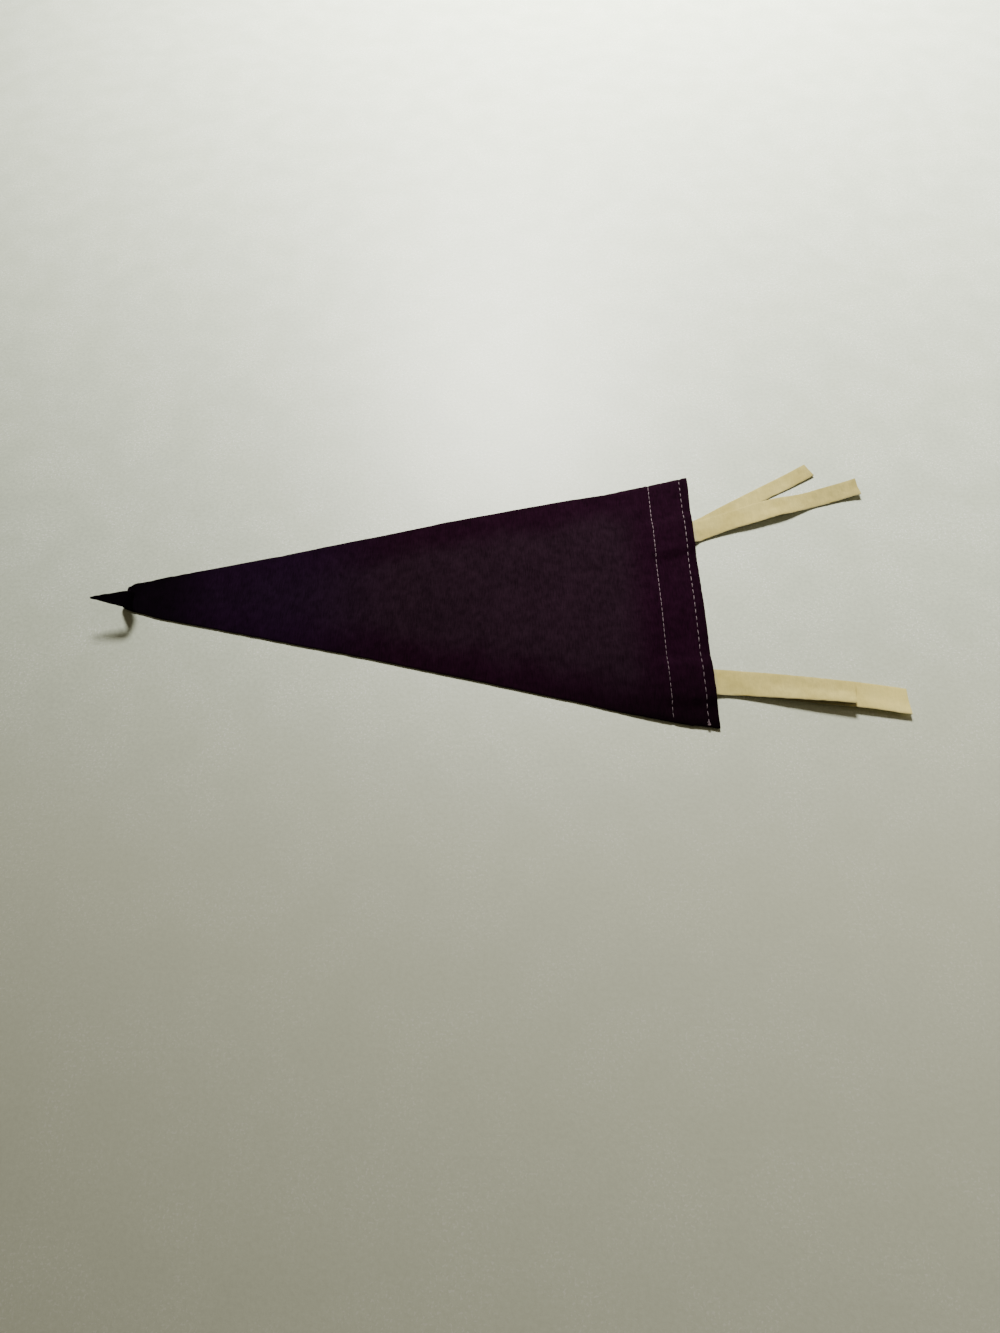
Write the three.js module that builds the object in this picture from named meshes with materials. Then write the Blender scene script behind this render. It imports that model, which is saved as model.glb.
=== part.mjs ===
// A small felt pennant lying face down on a flat surface, with two pairs of felt ties.
// Units are millimetres and +Z is up. While the pieces are made, the straight header edge lies
// along Y at X = 0, the point is toward -X, the ties run toward +X, and the surface is Z = 0.
// At the end the whole pennant is set with its origin at the bottom centre of its box.

import * as THREE from 'three';

// Driving dimensions
const headerLength = 101.6;      // straight edge, 4 in
const pennantLength = 228.6;     // header edge to the point that the cut edges aim at, 9 in
const tipTrim = 4.9;             // the point is cut blunt by this much
const pennantThickness = 1.0;
const stripWidth = 19;           // header strip, 3/4 in
const stripThickness = 1.0;
const tieThickness = 1.0;
const gap = 0.3;                 // between pieces that lie on each other
const foldDepth = 12;            // how far the ties reach in under the header
const headerLift = 0.8;          // the header strip arches this much off the surface between the ties
const headerRamp = 28;           // length in which the felt comes down behind the header strip
const tieMargin = 2.0;           // the felt clears the side of a tie by this much
const bulgeShoulder = 10;        // width of the felt's slope beside a tie

const tieStack = 2 * (tieThickness + gap);
const radians = THREE.MathUtils.degToRad;

// How far the two long edges stand outside a straight cut, at distances from the header edge.
const edgeWander = [
  { along: 0, far: 0.0, near: 0.4 },
  { along: 13, far: -0.4, near: 1.1 },
  { along: 28, far: -0.4, near: 0.9 },
  { along: 50, far: 0.6, near: 0.3 },
  { along: 85, far: 0.8, near: -0.3 },
  { along: 118, far: 0.0, near: -0.5 },
  { along: 150, far: -0.6, near: -0.3 },
  { along: 187, far: -0.6, near: -0.3 },
  { along: 198, far: -0.9, near: -1.1 },
  { along: 203, far: -2.7, near: -1.5 },
  { along: 212, far: -1.1, near: -1.0 },
  { along: 223.7, far: -0.5, near: -0.5 },
];

// The creases of the tip, in the order met from the header: where each starts on the centreline,
// how many degrees its line is turned from the header's direction, how many degrees the felt turns
// up (or down, below zero), and the radius of the turn.
const tipCreases = [
  { along: 193, lean: 48, turn: 34, radius: 14 },
  { along: 201, lean: 6, turn: 115, radius: 1.6 },
  { along: 211, lean: 9, turn: -125, radius: 1.6 },
  { along: 218.3, lean: 60, turn: 37, radius: 10 },
];

// The free tails, from inside the header to the end: out is the distance past the header edge,
// side the place along it, rise the height of the underside, roll the degrees by which the side
// nearer -Y stands higher, and wide the width there. cut is how far the corner toward +Y runs
// ahead of the other at the free end.
const farTie = {
  under: {
    cut: 1.3,
    stations: [
      { out: -foldDepth, side: 21.8, rise: 1.3, roll: 0, wide: 9.3 },
      { out: 0, side: 25.6, rise: 1.3, roll: 0, wide: 8.4 },
      { out: 3, side: 27.5, rise: 1.3, roll: 0, wide: 7.6 },
      { out: 6.5, side: 29.8, rise: 0.25, roll: 0, wide: 6.9 },
      { out: 12, side: 33.3, rise: 0.1, roll: 0, wide: 6.4 },
      { out: 20, side: 38.0, rise: 0.1, roll: 0, wide: 6.2 },
      { out: 29, side: 43.4, rise: 0.1, roll: 0, wide: 6.0 },
      { out: 38, side: 48.8, rise: 0.1, roll: 0, wide: 6.0 },
      { out: 47.4, side: 54.6, rise: 0.2, roll: 1, wide: 6.0 },
    ],
  },
  over: {
    cut: 1.6,
    stations: [
      { out: -foldDepth, side: 21.8, rise: 2.6, roll: 0, wide: 9.3 },
      { out: 0, side: 24.4, rise: 2.6, roll: 0, wide: 9.2 },
      { out: 4, side: 25.9, rise: 2.6, roll: 0, wide: 8.9 },
      { out: 9.5, side: 27.9, rise: 1.95, roll: -9, wide: 8.4 },
      { out: 14, side: 29.7, rise: 1.65, roll: -8, wide: 8.0 },
      { out: 20, side: 31.9, rise: 1.55, roll: -5, wide: 7.5 },
      { out: 26, side: 34.1, rise: 1.5, roll: 0, wide: 7.3 },
      { out: 31, side: 36.0, rise: 1.1, roll: 6, wide: 7.2 },
      { out: 38, side: 38.6, rise: 0.5, roll: 4, wide: 7.4 },
      { out: 46, side: 41.6, rise: 0.15, roll: 0, wide: 7.9 },
      { out: 54, side: 44.4, rise: 0.1, roll: 0, wide: 8.2 },
      { out: 63.6, side: 46.2, rise: 0.35, roll: 3, wide: 8.0 },
    ],
  },
};
const nearTie = {
  under: {
    cut: -0.9,
    stations: [
      { out: -foldDepth, side: -35.2, rise: 1.3, roll: 0, wide: 9.6 },
      { out: 0, side: -35.5, rise: 1.3, roll: 0, wide: 9.6 },
      { out: 1.5, side: -35.6, rise: 1.3, roll: 0, wide: 9.6 },
      { out: 6.5, side: -35.8, rise: 0.2, roll: 0, wide: 9.6 },
      { out: 14, side: -36.3, rise: 0.1, roll: 0, wide: 9.6 },
      { out: 24, side: -37.1, rise: 0.3, roll: 1, wide: 9.6 },
      { out: 34, side: -38.1, rise: 0.75, roll: 3, wide: 9.7 },
      { out: 47, side: -39.5, rise: 0.9, roll: 2, wide: 9.7 },
      { out: 60.3, side: -41.7, rise: 0.4, roll: 0, wide: 9.6 },
    ],
  },
  over: {
    cut: 0.7,
    stations: [
      { out: -foldDepth, side: -35.2, rise: 2.6, roll: 0, wide: 9.6 },
      { out: 0, side: -35.5, rise: 2.6, roll: 0, wide: 9.5 },
      { out: 1.5, side: -35.6, rise: 2.6, roll: 0, wide: 9.5 },
      { out: 7, side: -35.9, rise: 1.6, roll: 0, wide: 9.4 },
      { out: 14, side: -36.5, rise: 1.5, roll: 0, wide: 9.35 },
      { out: 24, side: -37.4, rise: 1.8, roll: 1, wide: 9.2 },
      { out: 34, side: -38.3, rise: 2.25, roll: 3, wide: 8.95 },
      { out: 44.6, side: -39.2, rise: 2.6, roll: 3, wide: 8.7 },
    ],
  },
};

function smooth(start, end, value) {
  return THREE.MathUtils.smoothstep(value, start, end);
}

// The value of one column of a table at a place, eased between its rows.
function readTable(table, placeKey, valueKey, place) {
  const next = table.findIndex((row) => row[placeKey] > place);
  if (next === 0) return table[0][valueKey];
  if (next === -1) return table[table.length - 1][valueKey];
  const before = table[next - 1];
  const after = table[next];
  const share = smooth(before[placeKey], after[placeKey], place);
  return THREE.MathUtils.lerp(before[valueKey], after[valueKey], share);
}

// A closed thin solid from a grid of points on its underside and on its upper side.
// pointAt(row, column, side) gives a corner; side is 0 below and 1 above.
function sheetGeometry(rowCount, columnCount, pointAt) {
  const positions = [];
  const index = [];
  const corner = (row, column, side) => (row * columnCount + column) * 2 + side;
  for (let row = 0; row < rowCount; row += 1) {
    for (let column = 0; column < columnCount; column += 1) {
      positions.push(...pointAt(row, column, 0).toArray());
      positions.push(...pointAt(row, column, 1).toArray());
    }
  }
  const quad = (a, b, c, d) => index.push(a, c, b, a, d, c);
  for (let row = 0; row < rowCount - 1; row += 1) {
    for (let column = 0; column < columnCount - 1; column += 1) {
      quad(corner(row, column, 1), corner(row + 1, column, 1),
        corner(row + 1, column + 1, 1), corner(row, column + 1, 1));
      quad(corner(row, column, 0), corner(row, column + 1, 0),
        corner(row + 1, column + 1, 0), corner(row + 1, column, 0));
    }
  }
  const lastRow = rowCount - 1;
  const lastColumn = columnCount - 1;
  for (let row = 0; row < lastRow; row += 1) {
    quad(corner(row, 0, 0), corner(row + 1, 0, 0), corner(row + 1, 0, 1), corner(row, 0, 1));
    quad(corner(row + 1, lastColumn, 0), corner(row, lastColumn, 0),
      corner(row, lastColumn, 1), corner(row + 1, lastColumn, 1));
  }
  for (let column = 0; column < lastColumn; column += 1) {
    quad(corner(0, column + 1, 0), corner(0, column, 0),
      corner(0, column, 1), corner(0, column + 1, 1));
    quad(corner(lastRow, column, 0), corner(lastRow, column + 1, 0),
      corner(lastRow, column + 1, 1), corner(lastRow, column, 1));
  }
  const geometry = new THREE.BufferGeometry();
  geometry.setAttribute('position', new THREE.Float32BufferAttribute(positions, 3));
  geometry.setIndex(index);
  geometry.computeVertexNormals();
  return geometry;
}

// Half the cut width at a distance from the header edge, on the far (+Y) or near (-Y) side.
function cutEdge(along, sideKey) {
  const straight = (headerLength / 2) * (1 - along / pennantLength);
  return straight + readTable(edgeWander, 'along', sideKey, along);
}

// The place of a point of the flat felt after one crease of the tip. flat is where the point was
// cut and point is where the creases nearer the tip have brought it.
function afterCrease(crease, flat, point) {
  const lean = radians(crease.lean);
  const turn = radians(crease.turn);
  const toTip = new THREE.Vector3(-Math.cos(lean), Math.sin(lean), 0);
  const start = new THREE.Vector3(-crease.along, 0, 0);
  const reach = flat.clone().sub(start).dot(toTip);
  if (reach <= 0) return point;
  const arc = Math.abs(crease.radius * turn);
  const angle = turn * Math.min(reach / arc, 1);
  const radius = crease.radius * Math.sign(turn);
  const offset = point.clone().sub(start);
  const forward = offset.dot(toTip) - Math.min(reach, arc);
  const newForward = radius * Math.sin(angle) + forward * Math.cos(angle)
    - offset.z * Math.sin(angle);
  const newHeight = radius * (1 - Math.cos(angle)) + forward * Math.sin(angle)
    + offset.z * Math.cos(angle);
  const moved = point.clone().addScaledVector(toTip, newForward - offset.dot(toTip));
  moved.z = newHeight;
  return moved;
}

// 1 over the folded part of a tie and its margin, falling to 0 over a shoulder on either side.
function overTie(tie, shoulder, x, y) {
  const stations = tie.over.stations;
  const centre = readTable(stations, 'out', 'side', Math.min(x, 0));
  const clear = stations[0].wide / 2 + tieMargin;
  return 1 - smooth(clear, clear + shoulder, Math.abs(y - centre));
}

// Height of the header strip's underside: flat on the surface from each tie to the corner beyond
// it, and arched between the ties.
function stripHeight(y) {
  const clear = farTie.over.stations[0].wide / 2 + tieMargin;
  const start = nearTie.over.stations[1].side + clear;
  const end = farTie.over.stations[0].side - clear;
  const middle = (start + end) / 2;
  return headerLift * smooth(start, middle, y) * (1 - smooth(middle, end, y));
}

// Height of the pennant's underside near the header: over the strip, and higher over each tie.
function headerHeight(x, y) {
  const ramp = smooth(-stripWidth - headerRamp, -stripWidth - 1, x);
  const overStrip = stripHeight(y) + stripThickness + gap;
  const ties = overTie(farTie, bulgeShoulder, x, y) + overTie(nearTie, bulgeShoulder, x, y);
  const inward = smooth(-foldDepth - 2 - bulgeShoulder, -foldDepth - 2, x);
  return ramp * overStrip + tieStack * ties * inward;
}

function placeOnPennant(along, across, height) {
  const flat = new THREE.Vector3(-along, across, 0);
  let point = new THREE.Vector3(-along, across, height);
  for (const crease of [...tipCreases].reverse()) {
    point = afterCrease(crease, flat, point);
  }
  point.z += headerHeight(-along, across);
  return point;
}

// Distances from the header edge at which the pennant has a row of corners, closer together where
// the felt bends: stretches of equal steps.
function pennantRows() {
  const stretches = [
    { until: 48, steps: 16 },
    { until: 180, steps: 8 },
    { until: 189, steps: 4 },
    { until: 200, steps: 10 },
    { until: 205.2, steps: 10 },
    { until: 210, steps: 4 },
    { until: 215.2, steps: 10 },
    { until: pennantLength - tipTrim, steps: 7 },
  ];
  const rows = [0];
  for (const stretch of stretches) {
    const from = rows[rows.length - 1];
    for (let step = 1; step <= stretch.steps; step += 1) {
      rows.push(THREE.MathUtils.lerp(from, stretch.until, step / stretch.steps));
    }
  }
  return rows;
}

function pennantGeometry() {
  const rows = pennantRows();
  const columnCount = 27;
  return sheetGeometry(rows.length, columnCount, (row, column, side) => {
    const along = rows[row];
    const share = column / (columnCount - 1);
    const across = THREE.MathUtils.lerp(-cutEdge(along, 'near'), cutEdge(along, 'far'), share);
    return placeOnPennant(along, across, side * pennantThickness);
  });
}

// The header strip, with its ends cut along the pennant's long edges.
function stripGeometry() {
  const rowCount = 5;
  const columnCount = 27;
  return sheetGeometry(rowCount, columnCount, (row, column, side) => {
    const along = (stripWidth * row) / (rowCount - 1);
    const share = column / (columnCount - 1);
    const near = gap - cutEdge(along, 'near');
    const far = cutEdge(along, 'far') - gap;
    const across = THREE.MathUtils.lerp(near, far, share);
    const height = stripHeight(across) + side * stripThickness;
    return new THREE.Vector3(-along, across, height);
  });
}

// The stations of one tail in even steps from the fold to its free end, each with its middle,
// its width and its direction across, which leans with the roll.
function tailSections(tail, stepCount) {
  const middles = tail.stations.map(
    (station) => new THREE.Vector3(station.out, station.side, station.rise + tieThickness / 2),
  );
  const path = new THREE.CatmullRomCurve3(middles, false, 'centripetal');
  const sections = [];
  for (let step = 0; step <= stepCount; step += 1) {
    const middle = path.getPointAt(step / stepCount);
    const heading = path.getTangentAt(step / stepCount);
    const level = new THREE.Vector3(-heading.y, heading.x, 0).normalize();
    const roll = radians(readTable(tail.stations, 'out', 'roll', middle.x));
    const across = level.multiplyScalar(Math.cos(roll));
    across.z = -Math.sin(roll);
    const wide = readTable(tail.stations, 'out', 'wide', middle.x);
    sections.push({ middle, across, wide, heading, cut: 0 });
  }
  sections[stepCount].cut = tail.cut;
  return sections;
}

// The half turn between the two tails, inside the header.
function foldSections(lower, upper) {
  const turnCount = 6;
  const centre = lower.middle.clone().lerp(upper.middle, 0.5);
  const radius = (upper.middle.z - lower.middle.z) / 2;
  const inward = lower.heading.clone().setZ(0).normalize().negate();
  const sections = [];
  for (let turn = 1; turn < turnCount; turn += 1) {
    const angle = (Math.PI * turn) / turnCount;
    const middle = centre.clone().addScaledVector(inward, radius * Math.sin(angle));
    middle.z -= radius * Math.cos(angle);
    const heading = inward.clone().multiplyScalar(Math.cos(angle)).setZ(Math.sin(angle));
    sections.push({ middle, across: lower.across, wide: lower.wide, heading, cut: 0 });
  }
  return sections;
}

// One tie: from the free end of the lower tail in to the fold, round it, and out along the
// upper tail to its free end.
function tieGeometry(tie) {
  const under = tailSections(tie.under, 24);
  const over = tailSections(tie.over, 24);
  const fold = foldSections(under[0], over[0]);
  const inbound = under.map((section) => (
    { ...section, heading: section.heading.clone().negate(), cut: -section.cut }
  )).reverse();
  const sections = [...inbound, ...fold, ...over];
  const columnCount = 3;
  return sheetGeometry(sections.length, columnCount, (row, column, side) => {
    const { middle, across, wide, heading, cut } = sections[row];
    const share = 0.5 - column / (columnCount - 1);
    const outward = new THREE.Vector3().crossVectors(heading, across).normalize();
    return middle.clone()
      .addScaledVector(across, wide * share)
      .addScaledVector(heading, cut * share)
      .addScaledVector(outward, tieThickness * (side - 0.5));
  });
}

const darkFelt = { color: 0x24151f, roughness: 0.95, metalness: 0 };
const creamFelt = { color: 0xc0b498, roughness: 0.92, metalness: 0 };

function feltPiece(name, geometry, finish) {
  const piece = new THREE.Mesh(geometry, new THREE.MeshStandardMaterial(finish));
  piece.name = name;
  return piece;
}

const pennant = new THREE.Group();
const header = new THREE.Group();
header.add(feltPiece('header_strip', stripGeometry(), darkFelt));
header.add(feltPiece('tie_far', tieGeometry(farTie), creamFelt));
header.add(feltPiece('tie_near', tieGeometry(nearTie), creamFelt));
pennant.add(feltPiece('pennant_felt', pennantGeometry(), darkFelt));
pennant.add(header);

const bounds = new THREE.Box3().setFromObject(pennant);
const middle = bounds.getCenter(new THREE.Vector3());
pennant.position.set(-middle.x, -middle.y, -bounds.min.z);

export default pennant;
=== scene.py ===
"""Looks of the small felt pennant: felt sheets, ties, sewn rows, materials, light and camera."""

import math
from collections import namedtuple

import bpy
import numpy as np
from mathutils import Matrix, Vector


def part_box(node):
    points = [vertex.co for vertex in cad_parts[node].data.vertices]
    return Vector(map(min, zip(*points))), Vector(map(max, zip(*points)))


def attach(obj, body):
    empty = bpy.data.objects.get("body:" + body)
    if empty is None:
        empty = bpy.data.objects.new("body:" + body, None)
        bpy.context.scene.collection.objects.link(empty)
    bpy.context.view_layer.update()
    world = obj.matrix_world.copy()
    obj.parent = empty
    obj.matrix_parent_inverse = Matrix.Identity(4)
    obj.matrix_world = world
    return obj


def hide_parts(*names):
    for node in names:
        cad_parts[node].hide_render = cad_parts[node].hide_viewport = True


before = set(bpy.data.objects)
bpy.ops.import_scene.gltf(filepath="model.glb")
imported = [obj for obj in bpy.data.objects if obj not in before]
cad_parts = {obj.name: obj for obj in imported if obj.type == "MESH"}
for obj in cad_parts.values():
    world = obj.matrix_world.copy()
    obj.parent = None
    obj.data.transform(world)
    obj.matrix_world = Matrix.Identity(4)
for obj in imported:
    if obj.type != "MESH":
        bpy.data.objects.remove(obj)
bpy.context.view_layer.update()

# Sizes in millimetres. The making frame has the header edge on x = 0, its middle on y = 0 and the
# surface at z = 0; the point is toward -x and the ties run toward +x.
MM = 0.001

# The cut felt.
HEADER_LENGTH = 101.6
PENNANT_LENGTH = 228.6  # header edge to point, had the point not been cut blunt
TIP_TRIM = 3.9  # what is cut off the point
FELT_THICKNESS = 0.7
STRIP_WIDTH = 19.0
STRIP_THICKNESS = 0.6
STRIP_SETBACK = 0.5  # header edge to the strip's outer edge
STRIP_INSET = 2.0  # the pennant's long edges to the strip's ends
CAD_STRIP_INSET = 0.3  # the same in the CAD
TIE_WIDTH = 9.0
TIE_THICKNESS = 0.5
EDGE_INSETS = np.array([0.0, 0.1, 0.28])  # places in from a cut edge, where it is rounded
EDGE_FULLNESS = np.array([0.5, 0.86, 1.0])  # share of the full thickness there

# How the layers lie on each other and on the table.
TABLE_GAP = 0.01
UNDER_CLEARANCE = 0.06
LAYER_GAP = 0.04
FOLD_DEPTH = 12.0  # header edge to the folds of the ties
TIE_MARGIN = 0.5  # felt that is level beside a folded tie
TIE_SHOULDER = 5.0  # its slope beyond that
HEADER_OVERHANG = 0.4  # how far the felt stands past the header line
HEADER_SKEW = 0.5  # how much further it stands out at the far corner
HEADER_ARCH = 0.8  # rise of the strip between the ties
HEADER_RAMP = 14.0  # length in which the felt comes down behind the strip
EDGE_DROOP = 0.55  # share of its height that the felt loses at its long edges by the strip
DROOP_WIDTH = 1.9

# Mesh rows and columns.
PENNANT_COLUMNS = 140
STRIP_COLUMNS = 120
TAIL_ROWS = 90
TAIL_COLUMNS = 17
FOLD_ROWS = 7

# Sewing.
THREAD_SIDES = 8
STITCH_RINGS = 11
STITCH_DIP = 0.30  # how far the ends of a stitch go down
STITCH_SINK = 0.10  # how deep its middle lies in the felt
STITCH_SINK_BELOW = 0.08  # the same on the strip's underside
STITCH_UNEVENNESS = 0.08
GROOVE_DEPTH = 0.22  # how far a row draws the felt in
GROOVE_WIDTH = 0.55
KNOT_RADIUS = 0.12

# The camera, in the making frame.
PICTURE_HEIGHT_PX = 1333
CAMERA_FOCAL_PX = 722
CAMERA_SHIFT_PX = 2.68
CAMERA_SENSOR = 36
CAMERA_PLACE = np.array([-64.783, -136.631, 214.677])
CAMERA_AHEAD = np.array([-0.0197, 0.449, -0.89331])
CAMERA_TARGET_AWAY = 240
CAMERA_ROLL = math.radians(-2.49)
TABLE_REACH = 3.0  # half the table's side, in metres

# Display colours.
FELT_PURPLE = "1d0518"
FELT_PAINTED_SHEEN = "231420"
FELT_VIOLET = "1c0a25"
FELT_SHEEN = "8a5a80"
CREAM_DARK = "d1bf74"
CREAM_LIGHT = "dccb82"
CREAM_PAINTED_SHADE = "b5ac8e"
CREAM_SHEEN = "fff2c8"
THREAD_DARK = "8e7988"
THREAD_LIGHT = "c2aaba"
TABLE_DARK = "c6cdbf"
TABLE_LIGHT = "ecf3e5"
TABLE_NEAR_SHADE = "d6d5c2"
TABLE_SPECK = "ffffff"

strip_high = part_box("header_strip")[1]
ORIGIN = np.array([
    strip_high[0] / MM, strip_high[1] / MM - (HEADER_LENGTH / 2 - CAD_STRIP_INSET), 0.0])

Wander = namedtuple("Wander", "along far near")
Crease = namedtuple("Crease", "along lean turn radius")
Station = namedtuple("Station", "out side near far wide")
Tail = namedtuple("Tail", "cut stations")
StitchRow = namedtuple(
    "StitchRow", "name inset_far inset_near from_side to_side count length radius seed")
Stretch = namedtuple("Stretch", "until steps")

# How far the long edges stand outside a straight cut, at distances from the header edge.
EDGE_WANDER = [
    Wander(0, 1.0, -0.3),
    Wander(13, 0.4, 0.6),
    Wander(28, 0.2, 0.6),
    Wander(50, 0.9, 0.0),
    Wander(85, 1.1, -0.5),
    Wander(118, 0.3, -0.8),
    Wander(150, -0.3, -0.6),
    Wander(187, -0.4, -0.4),
    Wander(198, -1.2, -1.1),
    Wander(204, -2.6, -1.9),
    Wander(212, -0.8, -0.4),
    Wander(224.7, -0.5, -0.5),
]
# The creases of the tip: place on the centreline, lean of the line, turn (up above 0) and radius.
TIP_CREASES = [
    Crease(194.7, 50, 30, 16),
    Crease(200.4, 7, 114, 1.3),
    Crease(210.4, 8.5, -128, 1.4),
    Crease(219.3, 61, 44, 11),
]
# The free tails: distance past the header edge, place along it, height of the underside along
# the edge nearer -y and along the other edge, and width.
FAR_UNDER = Tail(0.5, [
    Station(-12, 22.1, 0.68, 0.68, 9.3),
    Station(-1, 26.0, 0.68, 0.68, 8.6),
    Station(0.2, 26.6, 0.35, 0.45, 8.4),
    Station(1.6, 27.5, 0.05, 0.1, 7.8),
    Station(7, 31.0, 0.04, 0.05, 6.9),
    Station(12, 34.3, 0.04, 0.04, 6.5),
    Station(20, 39.2, 0.04, 0.04, 6.2),
    Station(29, 44.6, 0.04, 0.04, 5.8),
    Station(38, 49.6, 0.1, 0.04, 6.0),
    Station(47.9, 55.5, 0.35, 0.12, 6.1),
])
FAR_OVER = Tail(2.2, [
    Station(-12, 22.1, 1.22, 1.22, 9.3),
    Station(-1, 25.8, 1.22, 1.22, 8.6),
    Station(0.2, 26.15, 0.8, 1.0, 8.5),
    Station(1.6, 26.6, 0.2, 0.75, 8.3),
    Station(9, 29.3, 0.6, 0.75, 7.6),
    Station(14, 31.0, 1.0, 0.8, 7.5),
    Station(20, 33.0, 1.35, 0.85, 8.0),
    Station(26, 35.1, 1.55, 0.85, 8.3),
    Station(31, 36.8, 1.7, 0.7, 8.3),
    Station(36, 38.2, 1.25, 0.5, 8.2),
    Station(40, 39.35, 0.7, 0.25, 7.5),
    Station(46, 41.2, 0.15, 0.1, 7.0),
    Station(52, 43.1, 0.2, 0.05, 7.4),
    Station(58, 45.0, 0.65, 0.1, 7.4),
    Station(64.4, 46.9, 1.4, 0.2, 8.0),
])
NEAR_UNDER = Tail(-0.9, [
    Station(-12, -34.4, 0.68, 0.68, 9.2),
    Station(-0.8, -34.5, 0.68, 0.68, 9.1),
    Station(1, -34.5, 0.35, 0.4, 8.8),
    Station(4, -34.5, 0.05, 0.1, 8.3),
    Station(14, -35.2, 0.04, 0.04, 8.0),
    Station(24, -36.3, 0.1, 0.04, 8.4),
    Station(34, -37.6, 0.65, 0.3, 8.9),
    Station(47, -39.2, 1.4, 0.7, 9.2),
    Station(61.5, -41.5, 1.25, 0.6, 9.2),
])
NEAR_OVER = Tail(0.7, [
    Station(-12, -34.4, 1.22, 1.22, 9.2),
    Station(-0.8, -34.2, 1.22, 1.22, 8.9),
    Station(1, -34.25, 0.8, 1.0, 8.8),
    Station(4.5, -34.4, 0.45, 0.7, 8.8),
    Station(14, -35.25, 1.0, 0.85, 8.8),
    Station(24, -36.35, 1.85, 1.1, 8.7),
    Station(34, -37.6, 2.65, 1.6, 8.4),
    Station(44.6, -39.0, 3.2, 2.1, 8.0),
])
# The two sewn rows: distance in from the header edge at either end, span, and their stitches.
STITCH_ROWS = [
    StitchRow("outer", 2.3, 3.05, 50.1, -49.6, 37, 2.1, 0.10, 42),
    StitchRow("inner", 14.15, 14.1, 47.1, -47.0, 46, 1.95, 0.085, 51),
]
# The pennant's mesh rows: so many steps up to each distance from the header edge.
PENNANT_STRETCHES = [
    Stretch(0.6, 3),
    Stretch(2, 5),
    Stretch(4.2, 9),
    Stretch(12.5, 8),
    Stretch(16.5, 15),
    Stretch(50, 24),
    Stretch(182, 44),
    Stretch(198, 28),
    Stretch(206, 26),
    Stretch(210, 8),
    Stretch(217, 24),
    Stretch(PENNANT_LENGTH - TIP_TRIM - 0.4, 12),
]


def smooth(start, end, value):
    share = np.clip((np.asarray(value, float) - start) / (end - start), 0, 1)
    return share * share * (3 - 2 * share)


def columns_of(table, *names):
    return [np.array([getattr(row, name) for row in table], float) for name in names]


def eased(table, place, value, at):
    """A column of a table at places along it, eased between its rows."""
    places, values = columns_of(table, place, value)
    row = np.clip(np.searchsorted(places, at, side="right") - 1, 0, len(places) - 2)
    share = smooth(0, 1, (at - places[row]) / (places[row + 1] - places[row]))
    return values[row] + (values[row + 1] - values[row]) * share


def flowing(table, place, value, at):
    """A column of a table at places along it, on a smooth curve that never passes its rows."""
    places, values = columns_of(table, place, value)
    steps = np.diff(values) / np.diff(places)
    before, after = np.append(steps[0], steps), np.append(steps, steps[-1])
    slopes = np.where(before * after > 0, 2 * before * after / (before + after + 1e-12), 0)
    row = np.clip(np.searchsorted(places, at, side="right") - 1, 0, len(places) - 2)
    span = places[row + 1] - places[row]
    t = (at - places[row]) / span
    rise = values[row + 1] - values[row]
    bend = t * (1 - t) * (slopes[row] * span * (1 - t) - slopes[row + 1] * span * t)
    return values[row] + rise * t * t * (3 - 2 * t) + bend


def cut_edge(along, side):
    """Half the cut width of the pennant at a distance from the header edge."""
    straight = HEADER_LENGTH / 2 * (1 - along / PENNANT_LENGTH)
    return straight + eased(EDGE_WANDER, "along", side, along)


def after_crease(crease, flat, points):
    """Points of the felt after one crease of the tip; flat is where they were cut."""
    lean, turn = math.radians(crease.lean), math.radians(crease.turn)
    to_tip = np.array([-math.cos(lean), math.sin(lean), 0.0])
    start = np.array([-crease.along, 0.0, 0.0])
    reach = (flat - start) @ to_tip
    arc = abs(crease.radius * turn)
    bent = np.clip(reach / arc, 0, 1)
    angle = turn * bent
    radius = math.copysign(crease.radius, turn)
    ahead = (points - start) @ to_tip
    forward = ahead - arc * bent
    height = points[..., 2]
    new_ahead = radius * np.sin(angle) + forward * np.cos(angle) - height * np.sin(angle)
    new_height = radius * (1 - np.cos(angle)) + forward * np.sin(angle) + height * np.cos(angle)
    moved = points + (new_ahead - ahead)[..., None] * to_tip
    moved[..., 2] = new_height
    return np.where((reach > 0)[..., None], moved, points)


def over_tie(tail, x, y):
    """1 over the folded part of a tie and its margin, falling to 0 over a shoulder."""
    centre = flowing(tail.stations, "out", "side", np.clip(x, -FOLD_DEPTH, 0))
    clear = tail.stations[0].wide / 2 + TIE_MARGIN
    return 1 - smooth(clear, clear + TIE_SHOULDER, np.abs(y - centre))


def strip_under(y):
    """Height of the header strip's underside: arched between the ties."""
    clear = FAR_OVER.stations[0].wide / 2 + TIE_MARGIN
    start = NEAR_OVER.stations[1].side + clear
    end = FAR_OVER.stations[0].side - clear
    middle = (start + end) / 2
    arch = smooth(start, middle, y) * (1 - smooth(middle, end, y))
    return UNDER_CLEARANCE + HEADER_ARCH * arch


def felt_under(x, y):
    """Height of the pennant's underside near the header, over the strip and the ties."""
    ramp = smooth(-STRIP_WIDTH - HEADER_RAMP, -STRIP_WIDTH - 1, x)
    inset = np.where(y > 0, cut_edge(-x, "far"), cut_edge(-x, "near")) - np.abs(y)
    droop = 1 - EDGE_DROOP * (1 - smooth(0, DROOP_WIDTH, inset))
    over_strip = (strip_under(y) + STRIP_THICKNESS + LAYER_GAP) * droop
    ties = over_tie(FAR_OVER, x, y) + over_tie(NEAR_OVER, x, y)
    inward = smooth(-FOLD_DEPTH - 2 - TIE_SHOULDER, -FOLD_DEPTH - 2, x)
    return ramp * over_strip + 2 * (TIE_THICKNESS + LAYER_GAP) * ties * inward


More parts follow.
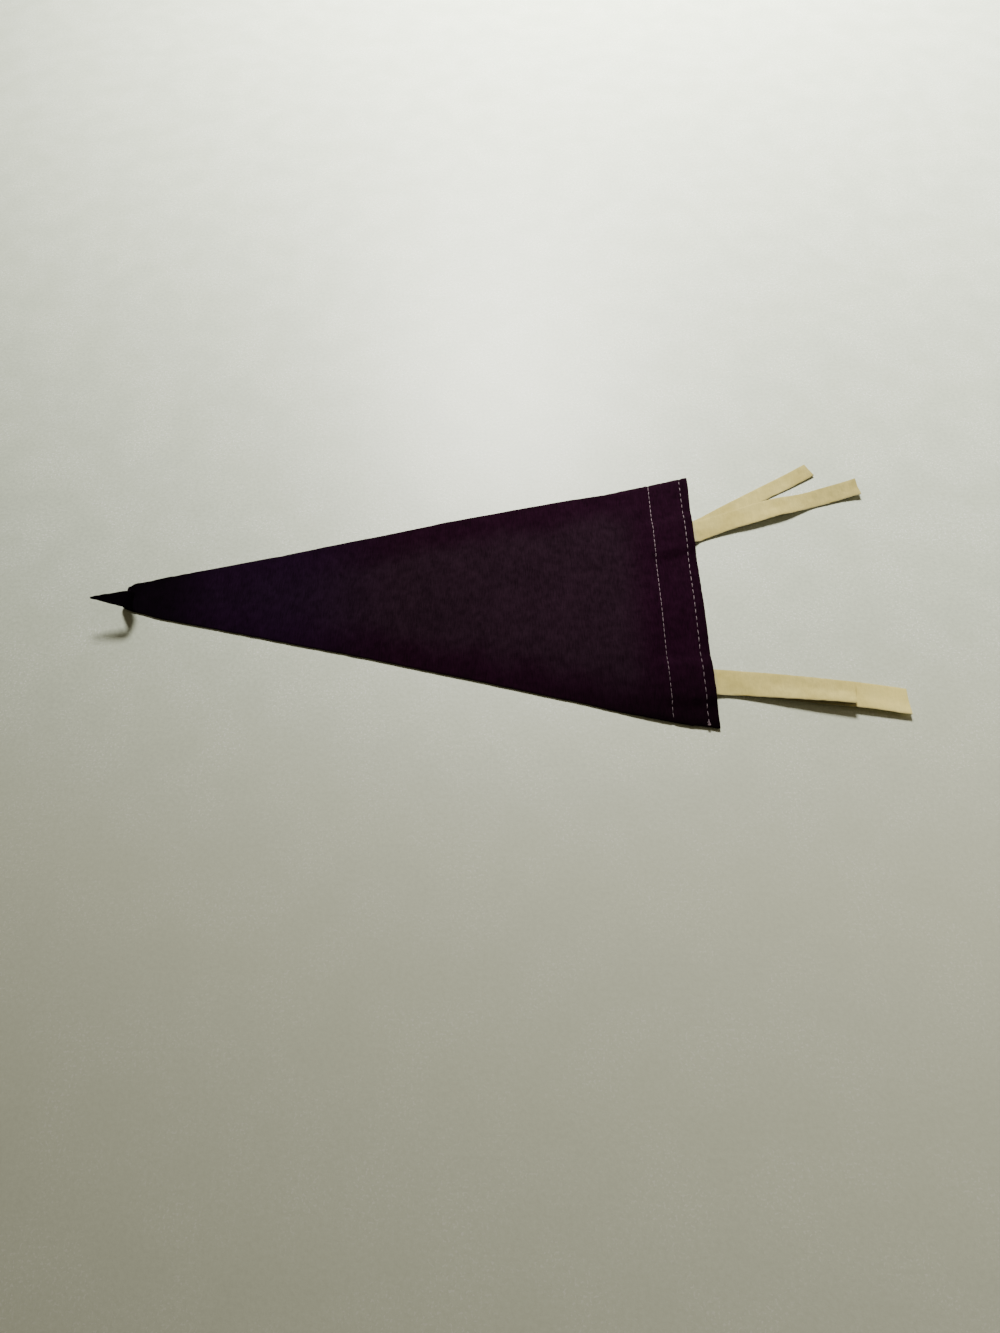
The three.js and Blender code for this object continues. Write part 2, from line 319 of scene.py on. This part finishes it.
def place_on_pennant(along, across, height):
    """Where a point of the flat felt lies; height is measured from its underside."""
    flat = np.stack([-along, across, np.zeros_like(along)], -1)
    points = np.stack([-along, across, np.broadcast_to(height, along.shape)], -1)
    for crease in reversed(TIP_CREASES):
        points = after_crease(crease, flat, points)
    points[..., 2] += felt_under(-along, across)
    return points


def spread(start, end, count):
    """count places from start to end with closer ones along both borders."""
    inner = np.linspace(0, 1, count - 4)
    width = end - start
    inset = np.minimum(EDGE_INSETS, abs(width) * 0.2) / abs(width)
    shares = np.concatenate([inset[:2], inset[2] + inner * (1 - 2 * inset[2]), 1 - inset[1::-1]])
    return start + shares * width


def fullness(count):
    """Share of the full thickness at each of count places from one cut edge to the other."""
    shares = np.ones(count)
    shares[:2] = EDGE_FULLNESS[:2]
    shares[-2:] = EDGE_FULLNESS[1::-1]
    return shares


def link(name, data):
    """A new object in the scene."""
    thing = bpy.data.objects.new(name, data)
    bpy.context.scene.collection.objects.link(thing)
    return thing


def smooth_mesh(name, vertices, faces):
    """A smooth-shaded mesh from points in millimetres."""
    mesh = bpy.data.meshes.new(name)
    mesh.from_pydata((np.asarray(vertices) * MM).tolist(), [], faces)
    mesh.polygons.foreach_set("use_smooth", [True] * len(mesh.polygons))
    mesh.update()
    return mesh


def new_piece(name, vertices, faces):
    """A finished mesh piece in the row frame, from points in the making frame."""
    above_table = np.maximum(vertices, [-np.inf, -np.inf, TABLE_GAP])
    return link(name, smooth_mesh(name, above_table + ORIGIN, faces))


def grid_faces(rows, cols, first, flip):
    """Quads between the points of a grid that starts at the point first."""
    a = first + (np.arange(rows - 1)[:, None] * cols + np.arange(cols - 1)[None, :]).ravel()
    quads = np.stack([a, a + cols, a + cols + 1, a + 1], 1)
    return (quads[:, ::-1] if flip else quads).tolist()


def surface_normals(middle):
    along, across = np.gradient(middle, axis=0), np.gradient(middle, axis=1)
    normals = np.cross(across, along)
    return normals / np.maximum(np.linalg.norm(normals, axis=-1, keepdims=True), 1e-9)


def thick_sheet(name, middle, thickness, pressed=0.0):
    """A closed felt sheet round a grid of points on its middle, with soft cut edges.
    pressed is how far the upper side is drawn in."""
    rows, cols = middle.shape[:2]
    normals = surface_normals(middle)
    half = thickness / 2 * fullness(rows)[:, None] * fullness(cols)[None, :]
    upper = middle + normals * (half - pressed)[..., None]
    lower = middle - normals * half[..., None]
    vertices = np.concatenate([upper.reshape(-1, 3), lower.reshape(-1, 3)])
    size = rows * cols
    faces = grid_faces(rows, cols, 0, True) + grid_faces(rows, cols, size, False)
    rim = [(row, 0) for row in range(rows)]
    rim += [(rows - 1, col) for col in range(1, cols)]
    rim += [(row, cols - 1) for row in range(rows - 2, -1, -1)]
    rim += [(0, col) for col in range(cols - 2, 0, -1)]
    ring = [row * cols + col for row, col in rim]
    for here, after in zip(ring, ring[1:] + ring[:1]):
        faces.append([after, here, here + size, after + size])
    return new_piece(name, vertices, faces)


def ragged(places, seed, size, step):
    """Small uneven offsets along a hand-cut edge."""
    rng = np.random.default_rng(seed)
    knots = np.arange(places.min() - step, places.max() + 2 * step, step)
    return np.interp(places, knots, rng.normal(0, size, len(knots)))


def groove(along, across):
    """How far sewing draws the felt's upper side in."""
    depth = np.zeros_like(along)
    for row in STITCH_ROWS:
        share = (across - row.to_side) / (row.from_side - row.to_side)
        centre = row.inset_near + (row.inset_far - row.inset_near) * np.clip(share, 0, 1)
        depth += GROOVE_DEPTH * np.exp(-(((along - centre) / GROOVE_WIDTH) ** 2))
    return depth


def pennant_rows():
    """Distances of the pennant's mesh rows from the header edge."""
    rows = [-HEADER_OVERHANG + inset for inset in EDGE_INSETS]
    for stretch in PENNANT_STRETCHES:
        rows += list(np.linspace(rows[-1], stretch.until, stretch.steps + 1)[1:])
    end = PENNANT_LENGTH - TIP_TRIM
    return np.array(rows + [end - inset for inset in EDGE_INSETS[::-1]])


def cut_grid(rows, columns, inset, rough, seeds):
    """Places along and across the felt, on a grid that fills the cut shape less an inset."""
    near_seed, far_seed = seeds
    near = cut_edge(rows, "near") - inset + ragged(rows, near_seed, *rough)
    far = cut_edge(rows, "far") - inset + ragged(rows, far_seed, *rough)
    across = np.stack([spread(-n, f, columns) for n, f in zip(near, far)])
    return np.repeat(rows[:, None], columns, 1), across


def make_pennant():
    along, across = cut_grid(pennant_rows(), PENNANT_COLUMNS, 0.0, rough=(0.06, 1.1), seeds=(3, 4))
    edge = ragged(across[0], seed=5, size=0.05, step=1.3)[None, :] * (1 - smooth(0, 3, along))
    edge = edge - HEADER_SKEW * smooth(30, 50, across) * (1 - smooth(0, 12, along))
    middle = place_on_pennant(along + edge, across, FELT_THICKNESS / 2)
    return thick_sheet("pennant", middle, FELT_THICKNESS, groove(along, across))


def make_strip():
    rows = np.concatenate([EDGE_INSETS + STRIP_SETBACK, np.linspace(1.2, STRIP_WIDTH - 1, 22),
                           STRIP_WIDTH - EDGE_INSETS[::-1]])
    along, across = cut_grid(rows, STRIP_COLUMNS, STRIP_INSET, rough=(0.05, 1.0), seeds=(6, 7))
    height = strip_under(across) + STRIP_THICKNESS / 2
    return thick_sheet("strip", np.stack([-along, across, height], -1), STRIP_THICKNESS)


def tail_surface(tail, seed):
    """The middle of one tail from the fold to its free end: rows along it, columns across."""
    end = tail.stations[-1].out
    last = EDGE_INSETS[2] / (end + FOLD_DEPTH)
    shares = np.linspace(0, 1, TAIL_ROWS - 2)
    shares = np.concatenate([shares * (1 - last), [1 - last * 0.36, 1.0]])
    v = spread(-TIE_WIDTH / 2, TIE_WIDTH / 2, TAIL_COLUMNS) / TIE_WIDTH
    out = -FOLD_DEPTH + shares[:, None] * (end + FOLD_DEPTH + tail.cut * v * shares[:, None] ** 8)
    side, wide, near, far = (
        flowing(tail.stations, "out", name, out) for name in ("side", "wide", "near", "far")
    )
    ahead, behind = (flowing(tail.stations, "out", "side", out + step) for step in (0.5, -0.5))
    heading = np.arctan(ahead - behind)
    rough = ragged(out[:, 0], seed, size=0.035, step=1.4)[:, None]
    offset = v[None, :] * wide + rough * np.sign(v) * (np.abs(v) > 0.49)
    height = near + (far - near) * smooth(-0.5, 0.1, v)[None, :] + TIE_THICKNESS / 2
    ripple = 0.03 * np.sin(out / 4.3 + seed) * smooth(4, 12, out)
    return np.stack([out - np.sin(heading) * offset, side + np.cos(heading) * offset,
                     height + np.maximum(ripple, 0)], -1)


def covered_by(tail, points):
    """1 where a tail lies over a point, fading out past its edges."""
    side, wide = (flowing(tail.stations, "out", name, points[..., 0]) for name in ("side", "wide"))
    inside = smooth(-0.6, 0.2, wide / 2 - np.abs(points[..., 1] - side))
    end = tail.stations[-1].out
    return inside * (1 - smooth(end - 0.6, end + 0.2, points[..., 0]))


def make_tie(name, under, over, seed):
    """One folded strip: the lower tail, the fold and the upper tail. A point attribute on it is 1
    where a paler cream is painted as shade: under the upper tail, where the tie leaves the header
    and on the cut edges."""
    lower, upper = tail_surface(under, seed), tail_surface(over, seed + 1)
    centre = (lower[0] + upper[0]) / 2
    radius = (upper[0] - lower[0])[..., 2] / 2
    turns = np.linspace(0, math.pi, FOLD_ROWS + 2)[1:-1]
    fold = [centre + np.stack([-radius * np.sin(a), 0 * radius, -radius * np.cos(a)], -1)
            for a in turns]
    middle = np.concatenate([lower[::-1], np.array(fold), upper])[:, ::-1]
    piece = thick_sheet(name, middle, TIE_THICKNESS)
    # Where a paler cream is painted as shade: by the header, under the upper tail and on the cut
    # edges.
    outside, inside = 1 - smooth(0.3, 1.6, middle[..., 0]), covered_by(over, middle)
    covered = np.stack([outside, inside])
    covered[1, -len(upper):] = 1
    covered[:, :, [0, -1]] = 1
    mark = piece.data.attributes.new("covered", "FLOAT", "POINT")
    mark.data.foreach_set("value", covered.ravel().astype(np.float32))
    return piece


class Nodes:
    """Makes nodes in a tree. Inputs are sockets, Wires or plain values, by name or place."""

    def __init__(self, tree):
        self.tree = tree

    def make(self, kind, inputs=(), outlet=0, **settings):
        node = self.tree.nodes.new(kind)
        for name, value in settings.items():
            setattr(node, name, value)
        for key, value in dict(inputs).items():
            socket = node.inputs[key]
            if isinstance(value, Wire):
                self.tree.links.new(value.socket, socket)
            else:
                socket.default_value = value
        return Wire(self, node.outputs[outlet]) if len(node.outputs) else node

    def value(self, kind, *parts):
        return self.make("ShaderNodeMath", dict(enumerate(parts)), operation=kind)


class Wire:
    """A number or colour in a node tree; arithmetic on it makes the nodes."""

    def __init__(self, nodes, socket):
        self.nodes = nodes
        self.socket = socket

    def __add__(self, other):
        return self.nodes.value("ADD", self, other)

    def __sub__(self, other):
        return self.nodes.value("SUBTRACT", self, other)

    def __mul__(self, other):
        return self.nodes.value("MULTIPLY", self, other)

    def __rsub__(self, other):
        return self.nodes.value("SUBTRACT", other, self)

    __radd__ = __add__
    __rmul__ = __mul__

    def between(self, low, high):
        """0 below low, 1 above high and a smooth step between."""
        return self.nodes.make(
            "ShaderNodeMapRange", {"Value": self, "From Min": low, "From Max": high},
            interpolation_type="SMOOTHSTEP")


def rgb(hex_code):
    """Linear colour of a display hex code."""
    shown = np.array([int(hex_code[i:i + 2], 16) / 255 for i in (0, 2, 4)])
    linear = np.where(shown <= 0.04045, shown / 12.92, ((shown + 0.055) / 1.055) ** 2.4)
    return (*linear.tolist(), 1.0)


def mixed(nodes, share, first, second):
    return nodes.make("ShaderNodeMix", {0: share, 6: first, 7: second}, outlet=2, data_type="RGBA")


def scaled(nodes, colour, amount):
    return nodes.make("ShaderNodeVectorMath", {0: colour, "Scale": amount}, operation="SCALE")


def noise(nodes, place, scale, detail=3.0, rough=0.55, stretch=(1, 1, 1), turn=0.0):
    """Noise on object coordinates; scale is in cycles per metre."""
    moved = nodes.make("ShaderNodeMapping", {
        "Vector": place, "Rotation": (0, 0, turn), "Scale": [scale * s for s in stretch]})
    return nodes.make("ShaderNodeTexNoise", {
        "Vector": moved, "Scale": 1.0, "Detail": detail, "Roughness": rough})


def x_and_y(nodes, place):
    apart = nodes.make("ShaderNodeSeparateXYZ", {0: place})
    return apart, Wire(nodes, apart.socket.node.outputs["Y"])


def from_header(nodes, place):
    """Metres in from the header edge, and metres along it from its middle."""
    x, y = x_and_y(nodes, place)
    return float(ORIGIN[0] * MM) - x, y - float(ORIGIN[1] * MM)


def new_material(name):
    """An empty material, its node maker and its object coordinates."""
    material = bpy.data.materials.new(name)
    material.use_nodes = True
    material.node_tree.nodes.clear()
    nodes = Nodes(material.node_tree)
    return material, nodes, nodes.make("ShaderNodeTexCoord", outlet="Object")


def finish_material(nodes, height, bump, surface):
    """Adds the bump, the surface and the output; bump is its strength and its depth in metres."""
    strength, depth = bump
    normal = nodes.make("ShaderNodeBump", {
        "Strength": strength, "Distance": depth, "Height": height})
    shader = nodes.make("ShaderNodeBsdfPrincipled", {**surface, "Normal": normal})
    nodes.make("ShaderNodeOutputMaterial", {"Surface": shader})


def felt_fibres(nodes, place):
    """Short fibres lying every way: stretched noises at four angles, averaged."""
    first, second, third, fourth = (
        noise(nodes, place, 2600, 2.0, 0.5, (1, 0.14, 1), turn) for turn in (0.3, 1.1, 1.9, 2.7))
    return (first + second + third + fourth) * 0.25


def dark_felt():
    """Deep purple felt: a greyer middle that is painted sheen, purple borders, violet toward the
    point and painted shade that darkens it there.
    """
    material, nodes, place = new_material("dark_felt")
    along, across = from_header(nodes, place)
    fibres = felt_fibres(nodes, place)
    mottle = noise(nodes, place, 330, 3.0, 0.6)
    cloud = noise(nodes, place, 60, 2.0, 0.5)
    half_width = HEADER_LENGTH / 2 * MM - along * (HEADER_LENGTH / 2 / PENNANT_LENGTH)
    inside = half_width - nodes.value("ABSOLUTE", across) + (cloud - 0.5) * 0.016
    # Painted sheen: the middle is greyer and lighter than the purple borders.
    painted_sheen = inside.between(0.003, 0.017) * along.between(0.016, 0.030)
    tint = mixed(nodes, painted_sheen * 0.85 + (mottle - 0.5) * 0.5, rgb(FELT_PURPLE), rgb(FELT_PAINTED_SHEEN))
    tint = mixed(nodes, along.between(0.10, 0.15) * 0.7, tint, rgb(FELT_VIOLET))
    tone = fibres.between(0.32, 0.68) * 0.7 + mottle.between(0.25, 0.75) * 0.4 + cloud * 0.5 + 0.12
    # Painted shade: darker along the near edge, at the near header corner and on the header edge.
    near_edge_shade = (across + half_width).between(-0.004, 0.010) * 0.25 + 0.75
    corner = (1 - across.between(-0.055, -0.015)) * (1 - along.between(0.03, 0.09))
    near_shade = near_edge_shade * (1 - corner * 0.58)
    near_shade = near_shade * (along.between(0.0022, 0.0036) * 0.22 + 0.78)
    # Painted shade: darker toward the point, most over its last stretch.
    point_shade = 1.05 - along.between(0.03, 0.165) * 0.24 - along.between(0.166, 0.190) * 0.57
    finish_material(nodes, fibres * 0.7 + mottle * 0.5, bump=(0.7, 0.0004), surface={
        "Base Color": scaled(nodes, tint, tone * near_shade * point_shade),
        "Roughness": 0.95, "Specular IOR Level": 0.04,
        "Sheen Weight": 0.03, "Sheen Roughness": 0.6, "Sheen Tint": rgb(FELT_SHEEN)})
    return material


def cream_felt():
    """Cream felt with a little mottle, painted shade and light along the tails, and a paler, greyer
    cream painted as shade where the tie's shade attribute is 1.
    """
    material, nodes, place = new_material("cream_felt")
    fibres = felt_fibres(nodes, place)
    mottle = noise(nodes, place, 420, 3.0, 0.6)
    cloud = noise(nodes, place, 90, 2.0, 0.5)
    base = mixed(nodes, cloud.between(0.3, 0.7), rgb(CREAM_DARK), rgb(CREAM_LIGHT))
    x, y = x_and_y(nodes, place)
    # Painted shade and light: the far tie is darker; toward the free ends the near tie is lighter
    # and the far tie darker.
    far_tie_shade = y.between(-0.03, 0.03)
    tone = fibres.between(0.32, 0.68) * 0.12 + mottle.between(0.25, 0.75) * 0.16 + 0.86
    tone = tone - far_tie_shade * 0.09 + x.between(0.100, 0.130) * (0.26 - far_tie_shade * 0.52)
    # Painted shade: a paler, greyer cream where the felt lies in shade.
    covered = nodes.make("ShaderNodeAttribute", attribute_name="covered", outlet="Fac")
    finish_material(nodes, fibres * 0.6 + mottle * 0.5, bump=(0.5, 0.0003), surface={
        "Base Color": mixed(nodes, covered, scaled(nodes, base, tone), rgb(CREAM_PAINTED_SHADE)),
        "Roughness": 0.9, "Specular IOR Level": 0.2,
        "Sheen Weight": 0.1, "Sheen Roughness": 0.5, "Sheen Tint": rgb(CREAM_SHEEN)})
    return material


def thread_material():
    """Light two-ply thread, soiled in places, with painted shade that makes it duller toward the
    near end.
    """
    material, nodes, place = new_material("sewing_thread")
    across = from_header(nodes, place)[1]
    fine = noise(nodes, place, 5200, 2.0, 0.5)
    soiled = noise(nodes, place, 260, 2.0, 0.5)
    # Painted shade: duller toward the near end; the noise gives soiled places.
    tone = (across.between(-0.055, 0.02) * 0.45 + 0.55) * (soiled.between(0.3, 0.7) * 0.4 + 0.7)
    colour = mixed(nodes, fine.between(0.35, 0.65), rgb(THREAD_DARK), rgb(THREAD_LIGHT))
    finish_material(nodes, fine, bump=(0.4, 0.00008), surface={
        "Base Color": scaled(nodes, colour, tone), "Roughness": 0.6, "Specular IOR Level": 0.3})
    return material


def floor_material():
    """A pale, slightly glossy table with fine grain and specks, and painted shade that makes it
    warmer and a little darker toward the camera.
    """
    material, nodes, place = new_material("pale_table")
    grain = noise(nodes, place, 800, 4.0, 0.7)
    cloud = noise(nodes, place, 60, 2.0, 0.5)
    specks = noise(nodes, place, 1500, 1.0, 0.5).between(0.58, 0.66) * cloud.between(0.35, 0.65)
    colour = mixed(nodes, grain.between(0.25, 0.75) * 0.6 + cloud * 0.4,
                   rgb(TABLE_DARK), rgb(TABLE_LIGHT))
    colour = mixed(nodes, specks * 0.9, colour, rgb(TABLE_SPECK))
    # Painted shade: warmer and a little darker toward the camera.
    nearer = 1 - x_and_y(nodes, place)[1].between(-0.12, 0.02)
    finish_material(nodes, grain, bump=(0.2, 0.0002), surface={
        "Base Color": mixed(nodes, nearer * 0.6, colour, rgb(TABLE_NEAR_SHADE)),
        "Roughness": 0.467, "Specular IOR Level": 0.95})
    return material


def tube_faces(rings, sides):
    """Quads round a tube, ring after ring, and a cap at each end."""
    faces = []
    for first in range(0, (rings - 1) * sides, sides):
        for k in range(sides):
            here, beside = first + k, first + (k + 1) % sides
            faces.append((here, beside, beside + sides, here + sides))
    faces.append(tuple(range(sides))[::-1])
    faces.append(tuple((rings - 1) * sides + k for k in range(sides)))
    return faces


def thread_stitch(length, radius):
    """One stitch along x: a two-ply thread that dips into the felt at both ends."""
    vertices = []
    for ring in range(STITCH_RINGS):
        t = ring / (STITCH_RINGS - 1)
        dip = -STITCH_DIP * abs(2 * t - 1) ** 3
        swell = radius * (0.55 + 0.45 * math.sin(math.pi * min(max(t, 0.04), 0.96)) ** 0.4)
        twist = 1.1 * math.pi * t * length
        for k in range(THREAD_SIDES):
            a = 2 * math.pi * k / THREAD_SIDES
            out = swell * (1 + 0.16 * math.cos(2 * (a - twist)))
            vertices.append(((t - 0.5) * length, out * math.cos(a), dip + out * math.sin(a) * 0.8))
    return link("stitch", smooth_mesh("stitch", vertices, tube_faces(STITCH_RINGS, THREAD_SIDES)))


def stitch_group(material):
    """Geometry Nodes: one stitch at every point of a row, turned along it and slightly uneven."""
    group = bpy.data.node_groups.new("sewn_row", "GeometryNodeTree")
    for name, kind in (("Row", "Geometry"), ("Stitch", "Object"), ("Unevenness", "Float"),
                       ("Seed", "Int")):
        group.interface.new_socket(name, in_out="INPUT", socket_type="NodeSocket" + kind)
    group.interface.new_socket("Sewn", in_out="OUTPUT", socket_type="NodeSocketGeometry")
    nodes = Nodes(group)
    entry = group.nodes.new("NodeGroupInput")
    row, stitch, uneven, seed = (Wire(nodes, entry.outputs[i]) for i in range(4))
    shape = nodes.make("GeometryNodeObjectInfo", {"Object": stitch}, outlet="Geometry")
    turn = nodes.make("GeometryNodeInputNamedAttribute", {"Name": "turn"}, data_type="FLOAT_VECTOR")
    jitter = nodes.make("FunctionNodeRandomValue", {
        0: (-1.0, -1.0, -1.0), 1: (1.0, 1.0, 1.0), "Seed": seed}, data_type="FLOAT_VECTOR")
    small = nodes.make("ShaderNodeVectorMath", {0: jitter, "Scale": uneven}, operation="SCALE")
    rotation = nodes.make("ShaderNodeVectorMath", {0: turn, 1: small}, operation="ADD")
    size = nodes.make("FunctionNodeRandomValue", {
        2: 0.92, 3: 1.08, "Seed": seed}, outlet=1, data_type="FLOAT")
    placed = nodes.make("GeometryNodeInstanceOnPoints", {
        "Points": row, "Instance": shape, "Rotation": rotation, "Scale": size})
    real = nodes.make("GeometryNodeRealizeInstances", {0: placed})
    coloured = nodes.make("GeometryNodeSetMaterial", {"Geometry": real, "Material": material})
    exit_node = group.nodes.new("NodeGroupOutput")
    group.links.new(coloured.socket, exit_node.inputs[0])
    return group


def grown(name, base, group, values):
    """The mesh that a node group makes of a base mesh, as a piece of its own."""
    holder = link(name + "_base", base)
    modifier = holder.modifiers.new("grow", "NODES")
    modifier.node_group = group
    for item in group.interface.items_tree:
        if item.item_type == "SOCKET" and item.in_out == "INPUT" and item.name in values:
            modifier[item.identifier] = values[item.name]
    holder.update_tag()
    bpy.context.view_layer.update()
    evaluated = holder.evaluated_get(bpy.context.evaluated_depsgraph_get())
    mesh = bpy.data.meshes.new_from_object(evaluated)
    mesh.name = name
    holder.modifiers.remove(modifier)
    bpy.data.objects.remove(holder)
    return link(name, mesh)


def row_points(row, below):
    """Middles of a row's stitches on the felt's upper side, or between them on the underside."""
    share = (np.arange(row.count - below) + (1.0 if below else 0.5)) / row.count
    side = row.from_side + (row.to_side - row.from_side) * share
    inset = row.inset_far + (row.inset_near - row.inset_far) * share
    if below:
        height = strip_under(side) + STITCH_SINK_BELOW
    else:
        height = felt_under(-inset, side) + FELT_THICKNESS - STITCH_SINK
    return np.stack([-inset, side, height], -1)


def make_stitches(row, group, below):
    points = row_points(row, below)
    ahead = np.gradient(points, axis=0)
    yaw = np.arctan2(ahead[:, 1], ahead[:, 0])
    pitch = -np.arctan2(ahead[:, 2], np.hypot(ahead[:, 0], ahead[:, 1]))
    roll = np.full(len(points), math.pi if below else 0.0)
    mesh = bpy.data.meshes.new("row")
    mesh.from_pydata(((points + ORIGIN) * MM).tolist(), [], [])
    turn = mesh.attributes.new("turn", "FLOAT_VECTOR", "POINT")
    turn.data.foreach_set("vector", np.stack([roll, pitch, yaw], -1).astype(np.float32).ravel())
    stitch = thread_stitch(row.length, row.radius)
    name = f"stitches_{row.name}" + ("_below" if below else "")
    piece = grown(name, mesh, group, {
        "Stitch": stitch, "Unevenness": STITCH_UNEVENNESS, "Seed": row.seed + below})
    bpy.data.objects.remove(stitch)
    return piece


def thread_tube(name, path, radius):
    """A closed thread along a path in the making frame."""
    ahead = np.gradient(path, axis=0)
    ahead /= np.linalg.norm(ahead, axis=1, keepdims=True)
    side = np.cross(ahead, [0.13, 0.21, 1.0])
    side /= np.linalg.norm(side, axis=1, keepdims=True)
    up = np.cross(side, ahead)
    a = (2 * math.pi * np.arange(THREAD_SIDES) / THREAD_SIDES)[None, :, None]
    rings = path[:, None] + radius * (side[:, None] * np.cos(a) + up[:, None] * np.sin(a))
    faces = [face[::-1] for face in tube_faces(len(path), THREAD_SIDES)]
    return new_piece(name, rings.reshape(-1, 3), faces)


def make_knot():
    """The tied-off thread at the near end of the outer row: a small tangle with a loose end."""
    row = STITCH_ROWS[0]
    x, y = -row.inset_near, row.to_side + 0.5
    z = float(felt_under(np.array(x), np.array(y))) + FELT_THICKNESS + 0.1
    t = np.linspace(0, 1, 90)
    wind = 2 * math.pi * 3.3 * t
    swell = np.sin(math.pi * np.clip(t * 1.15, 0, 1)) ** 0.5
    path = np.stack([x + 0.42 * swell * np.cos(wind) - 0.1,
                     y + 0.55 * np.cos(wind * 0.55 + 0.6) * swell - 0.2 * t,
                     z + 0.12 + 0.22 * np.sin(wind * 1.3) * swell + 0.1 * t], -1)
    return thread_tube("thread_knot", path, KNOT_RADIUS)


def aim(thing, place, target, roll=0.0):
    """Puts a camera or light at a place, facing a target, both in the making frame."""
    place, target = ((np.asarray(p, float) + ORIGIN) * MM for p in (place, target))
    ahead = Vector(target - place).normalized()
    turn = ahead.to_track_quat("-Z", "Y").to_matrix() @ Matrix.Rotation(roll, 3, "Z")
    thing.matrix_world = Matrix.Translation(Vector(place)) @ turn.to_4x4()


def make_camera():
    data = bpy.data.cameras.new("camera")
    data.sensor_width = CAMERA_SENSOR
    data.lens = CAMERA_FOCAL_PX * CAMERA_SENSOR / PICTURE_HEIGHT_PX
    data.shift_y = CAMERA_SHIFT_PX / PICTURE_HEIGHT_PX
    data.clip_start = 0.01
    camera = link("camera", data)
    bpy.context.scene.camera = camera
    aim(camera, CAMERA_PLACE, CAMERA_PLACE + CAMERA_TARGET_AWAY * CAMERA_AHEAD, CAMERA_ROLL)


def make_light(name, place, target, size, power, colour, spread_degrees=180):
    """A round area light; size is in millimetres and power in watts."""
    data = bpy.data.lights.new(name, "AREA")
    data.shape = "DISK"
    data.size = size * MM
    data.energy = power
    data.color = colour
    data.spread = math.radians(spread_degrees)
    aim(link(name, data), place, target)


def make_surroundings(floor_finish):
    corners = [(-1, -1, 0), (1, -1, 0), (1, 1, 0), (-1, 1, 0)]
    mesh = bpy.data.meshes.new("table_top")
    mesh.from_pydata([[TABLE_REACH * c for c in corner] for corner in corners], [], [(0, 1, 2, 3)])
    mesh.materials.append(floor_finish)
    link("table_top", mesh)
    # The narrowed window leaves the table darker away from the glow behind the header.
    make_light("window", (-72, 620, 560), (92, 600, 0), size=255, power=16.5,
               colour=(1.0, 1.0, 0.88), spread_degrees=131)
    make_light("room_fill", (450, 60, 350), (0, 0, 0), size=300, power=0.2,
               colour=(1.0, 0.86, 0.55))
    world = bpy.data.worlds.new("room")
    bpy.context.scene.world = world
    world.use_nodes = True
    background = world.node_tree.nodes["Background"]
    background.inputs["Color"].default_value = (1.0, 0.88, 0.54, 1.0)
    background.inputs["Strength"].default_value = 0.075


felt, cream, thread = dark_felt(), cream_felt(), thread_material()
make_camera()
make_surroundings(floor_material())

pennant = make_pennant()
strip = make_strip()
far_tie = make_tie("far_tie", FAR_UNDER, FAR_OVER, 11)
near_tie = make_tie("near_tie", NEAR_UNDER, NEAR_OVER, 21)
group = stitch_group(thread)
sewing = [make_stitches(row, group, below) for row in STITCH_ROWS for below in (False, True)]
sewing.append(make_knot())

for piece, finish, slot, node in ((pennant, felt, "dark_felt", "pennant_felt"),
                                  (strip, felt, "dark_felt", "header_strip"),
                                  (far_tie, cream, "cream_felt", "tie_far"),
                                  (near_tie, cream, "cream_felt", "tie_near")):
    piece.data.materials.append(finish)
    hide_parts(node)
    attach(piece, "root")
for piece in sewing:
    if not piece.data.materials:
        piece.data.materials.append(thread)
    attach(piece, "root")
